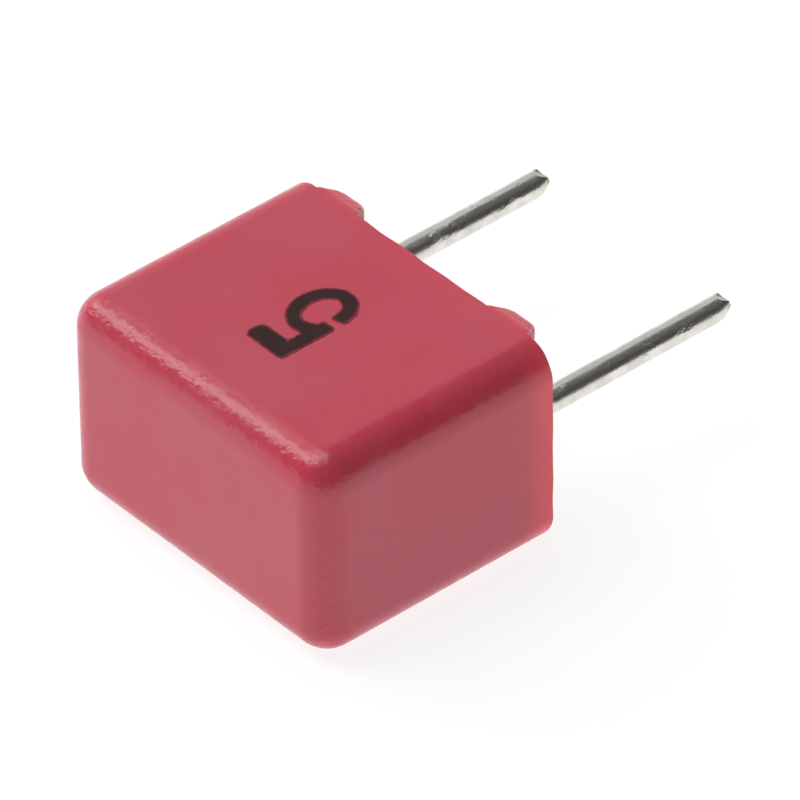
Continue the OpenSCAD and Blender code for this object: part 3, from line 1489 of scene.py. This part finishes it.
@dataclass(frozen=True)
class Softbox:
    """A flat lamp that faces the object.

    Attributes:
        name: Its name.
        toward: The direction from the object to the lamp.
        size: Its width and its height.
        glow: How bright its face is, where 1 is white.
        turn: Its turn about the line to the object, in degrees.
        distance: Its distance from the object.
    """

    name: str
    toward: tuple[float, float, float]
    size: tuple[float, float]
    glow: float
    turn: float = 0.0
    distance: float = 400.0

    def place(self) -> Object:
        """Adds the lamp and returns it."""
        width, height = (side * MM for side in self.size)
        data = bpy.data.lights.new(self.name, "AREA")
        data.shape = "RECTANGLE"
        data.size, data.size_y = width, height
        data.energy = math.pi * width * height * self.glow
        lamp = add_object(self.name, data)
        way = Vector(self.toward).normalized()
        facing = way.to_track_quat("Z", "Y") @ Quaternion((0.0, 0.0, 1.0), math.radians(self.turn))
        lamp.location = way * self.distance * MM
        lamp.rotation_euler = facing.to_euler()
        return lamp


@dataclass(frozen=True)
class Studio:
    """A lit white table in a dim room, before a white backdrop.

    Attributes:
        dusk: Brightness of the room's walls.
        skirting: Brightness that the walls gain just above the table.
        ceiling: Brightness that the room gains overhead.
        table: Side of the table.
        glow: How bright the table shows by itself, where 1 is white.
        paper: How much light the table's top sends back.
        lamps: The lamps.
    """

    dusk: float = 0.06
    skirting: float = 0.3
    ceiling: float = 0.06
    table: float = 2000.0
    glow: float = 0.86
    paper: float = 0.22
    lamps: tuple[Softbox, ...] = (
        Softbox("Key_softbox", (-0.62, -0.33, 0.71), (180, 420), 3.35, turn=-38),
        Softbox("Left_panel", (-0.86, 0.36, 0.36), (620, 620), 0.55, distance=450),
        Softbox("Overhead_softbox", (-0.26, -0.06, 0.96), (280, 280), 2.4, distance=420),
    )

    def place(self) -> None:
        """Builds the floor, the room and the lamps."""
        self._floor()
        self._room()
        for lamp in self.lamps:
            lamp.place()

    def _floor(self) -> None:
        """Lays the floor, which shows white but keeps the object's shadow."""
        half = self.table / 2 * MM
        mesh = bpy.data.meshes.new("Floor")
        corners = [(-half, -half, 0), (half, -half, 0), (half, half, 0), (-half, half, 0)]
        mesh.from_pydata(corners, [], [(0, 1, 2, 3)])
        floor = add_object("Floor", mesh)
        material = bpy.data.materials.new("Floor_paper")
        material.use_nodes = True
        material.node_tree.nodes.clear()
        graph = ShaderGraph(material.node_tree)
        paper = graph.node("ShaderNodeBsdfDiffuse", {"Color": (self.paper,) * 3})
        glow = graph.node("ShaderNodeEmission", {"Color": (1.0, 1.0, 1.0), "Strength": self.glow})
        lit = graph.node("ShaderNodeAddShader", {0: paper.outputs[0], 1: glow.outputs[0]})
        graph.node("ShaderNodeOutputMaterial", {"Surface": lit.outputs[0]})
        mesh.materials.append(material)

    def _room(self) -> None:
        """Paints the room: white to the camera, dim to the object but for foot and ceiling."""
        world = bpy.data.worlds.new("Room")
        bpy.context.scene.world = world
        world.use_nodes = True
        world.node_tree.nodes.clear()
        graph = ShaderGraph(world.node_tree)
        way = graph.node("ShaderNodeTexCoord").outputs["Generated"]
        height = graph.split(way)["Z"]
        foot = graph.remap(height, (0.0, 0.2), (self.dusk + self.skirting, self.dusk))
        around = graph.math("ADD", foot, graph.remap(height, (0.55, 0.82), (0.0, self.ceiling)))
        seen = graph.node("ShaderNodeLightPath").outputs["Is Camera Ray"]
        strength = graph.math("MAXIMUM", seen, around)
        room = graph.node("ShaderNodeBackground", {"Color": (1.0, 1.0, 1.0), "Strength": strength})
        graph.node("ShaderNodeOutputWorld", {"Surface": room.outputs[0]})


def main() -> None:
    """Builds the object piece by piece, then its setting."""
    logging.basicConfig(level=logging.INFO, format="%(name)s: %(message)s")
    bpy.context.scene.view_settings.view_transform = "Standard"
    effects = Effects()

    case = Case(Box.of_node("case"))
    plastic = MouldedPlastic(case.rim_y, case.box.high.x).build(effects)
    hand_over(case.build(plastic), "case_plastic", "case")
    hand_over(Digit(case).build(PrintedInk().build(effects)), "marking_ink")

    resin = ResinSeal(case)
    hand_over(resin.build(CastResin().build(effects)), "seal_resin", "resin_seal")

    left, right = Box.of_node("lead_left"), Box.of_node("lead_right")
    shaper = LeadShaper(TinnedWire(left.high.y).build(effects))
    turn_y = resin.level + resin.collar / 4
    for lead in (
        Lead(Side.LEFT, left, turn_y, CutEnd(), seed=1.0),
        Lead(Side.RIGHT, right, turn_y, CutEnd(burr=0.05, edge=0.06), seed=5.0),
    ):
        hand_over(lead.build(shaper), "tinned_wire", f"lead_{lead.side.label}")

    film, metal = WoundFilm().build(effects), SprayedMetal().build(effects)
    hidden = {"film_winding": film, "end_spray_left": metal, "end_spray_right": metal}
    for name, finish in hidden.items():
        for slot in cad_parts[name].material_slots:
            slot.material = finish
        log.info("%s: dressed", name)

    Studio().place()
    Viewpoint(Vector((0.684, case.box.low.y + 4.381, 2.25))).place()


if __name__ == "__main__":
    main()
